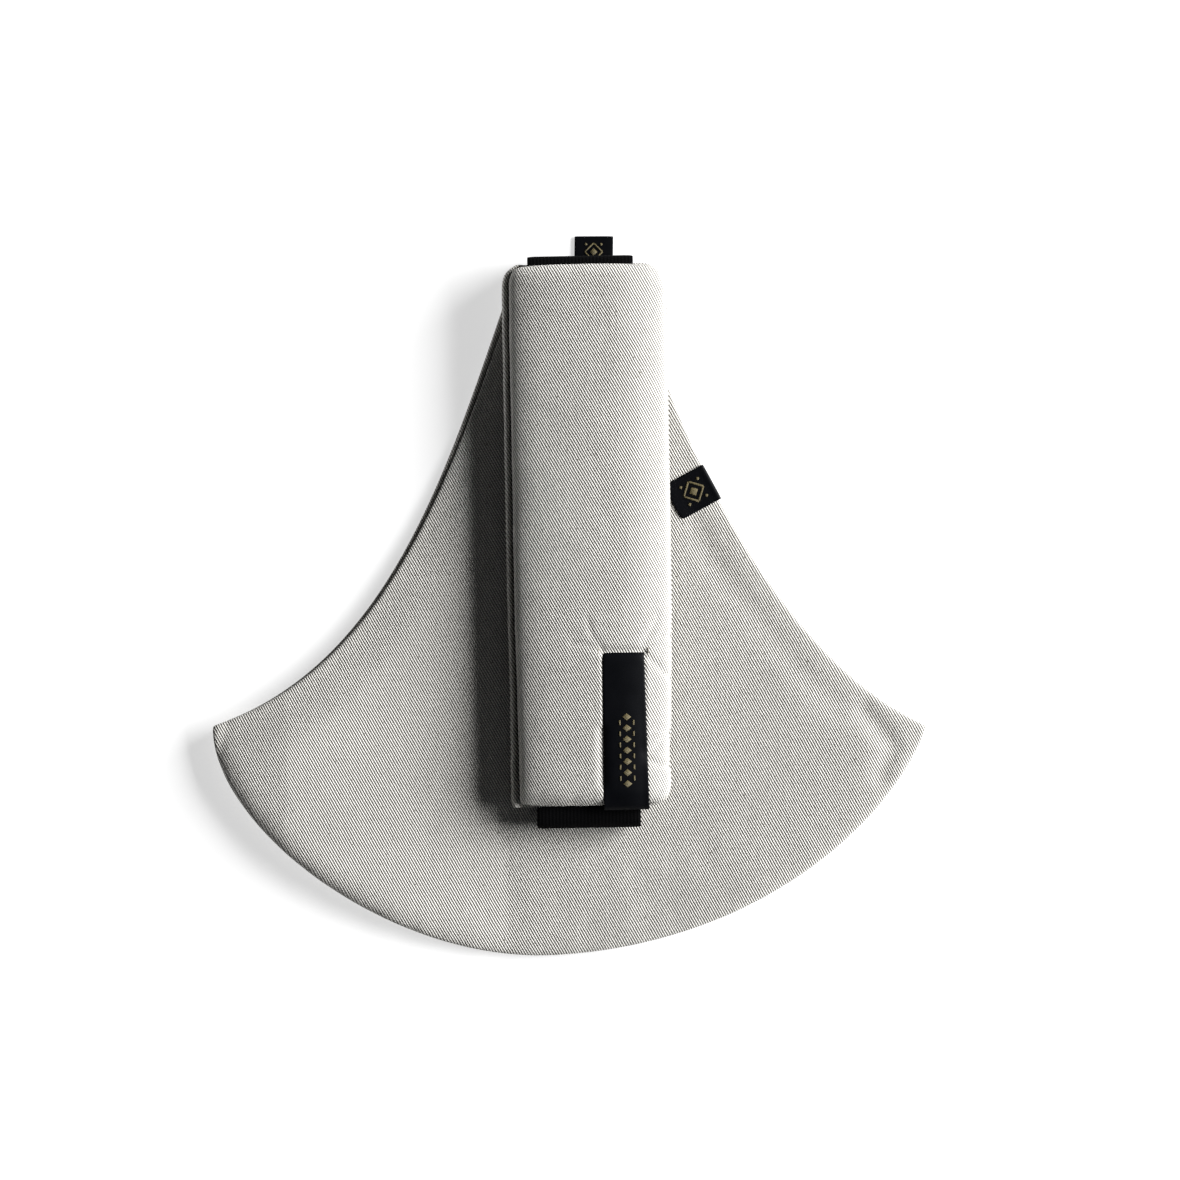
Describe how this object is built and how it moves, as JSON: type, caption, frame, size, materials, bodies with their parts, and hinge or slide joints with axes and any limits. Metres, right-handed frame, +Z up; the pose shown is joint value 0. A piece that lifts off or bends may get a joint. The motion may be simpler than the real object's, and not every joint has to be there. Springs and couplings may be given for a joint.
{
  "type": "shoulder sling baby carrier",
  "caption": "Folded shoulder sling for carrying a toddler: a flat half-round canvas pouch seat with a padded shoulder strap on wide webbing, laid over it.",
  "frame": {"origin": "on the surface that the sling lies on, under the middle of its outline", "axes": "+Z up, +Y from the curved bottom of the seat to its neck, +X across to the labelled rail"},
  "size_m": [0.428, 0.432, 0.035],
  "materials": {
    "canvas": "undyed heavy cotton canvas with a coarse diagonal weave and a few dark flecks",
    "lining": "undyed cotton twill lining",
    "binding_tape": "plain woven cotton tape",
    "webbing": "flat black woven webbing with fine ribs",
    "label_satin": "black satin tape with a dull gold geometric motif",
    "black_thread": "black sewing thread",
    "ecru_thread": "undyed sewing thread",
    "foam": "soft closed-cell foam",
    "black_steel": "black coated steel"
  },
  "bodies": {
    "seat": {"back_panel_outer": "canvas", "back_panel_lining": "lining", "front_lower_outer": "canvas", "front_lower_lining": "lining", "bottom_seam_binding": "binding_tape", "neck_webbing": "webbing", "neck_bartacks": "black_thread", "neck_label": "label_satin"},
    "front_flap": {"front_upper_outer": "canvas", "front_upper_lining": "lining", "ring_webbing": "webbing", "ring_bartacks": "black_thread", "side_label_tab": "label_satin"},
    "ring": {"neck_ring": "black_steel", "strap_ring_loop": "webbing"},
    "pad": {"pad_cover_front": "canvas", "pad_cover_back": "lining", "pad_foam_upper": "foam", "pad_foam_lower": "foam", "core_webbing": "webbing", "keeper_band": "label_satin", "band_bartacks": "ecru_thread"},
    "strap_run": {"run_webbing": "webbing"},
    "adjuster": {"adjuster_frame": "black_steel", "adjuster_bar": "black_steel", "strap_end": "webbing", "strap_end_bartacks": "black_thread"}
  },
  "joints": [
    {"name": "strap_lift", "type": "hinge", "parent": "seat", "child": "pad", "pos_m": [0.0053, 0.2018, 0.0125], "axis": [-0.9998, -0.0175, 0], "range_deg": [0, 90]},
    {"name": "pouch_open", "type": "hinge", "parent": "seat", "child": "front_flap", "pos_m": [0, -0.079, 0.005], "axis": [1, 0, 0], "range_deg": [0, 11.3]},
    {"name": "ring_swing", "type": "hinge", "parent": "front_flap", "child": "ring", "pos_m": [0.006, 0.16201, 0.0094], "axis": [-0.9998, -0.0175, 0], "range_deg": [0, 110]},
    {"name": "run_fold", "type": "hinge", "parent": "pad", "child": "strap_run", "pos_m": [0.01111, -0.13095, 0.01505], "axis": [-0.9998, -0.0175, 0], "range_deg": [0, 8.4]},
    {"name": "strap_adjust", "type": "slide", "parent": "strap_run", "child": "adjuster", "axis": [0.0175, -0.9998, 0], "range_m": [0, 0.15]}
  ],
  "couplings": [
    {"joint": "pouch_open", "follows": "strap_lift", "ratio": 0.12456},
    {"joint": "ring_swing", "follows": "strap_lift", "ratio": 1.2166},
    {"joint": "run_fold", "follows": "strap_lift", "ratio": 0.09204}
  ]
}
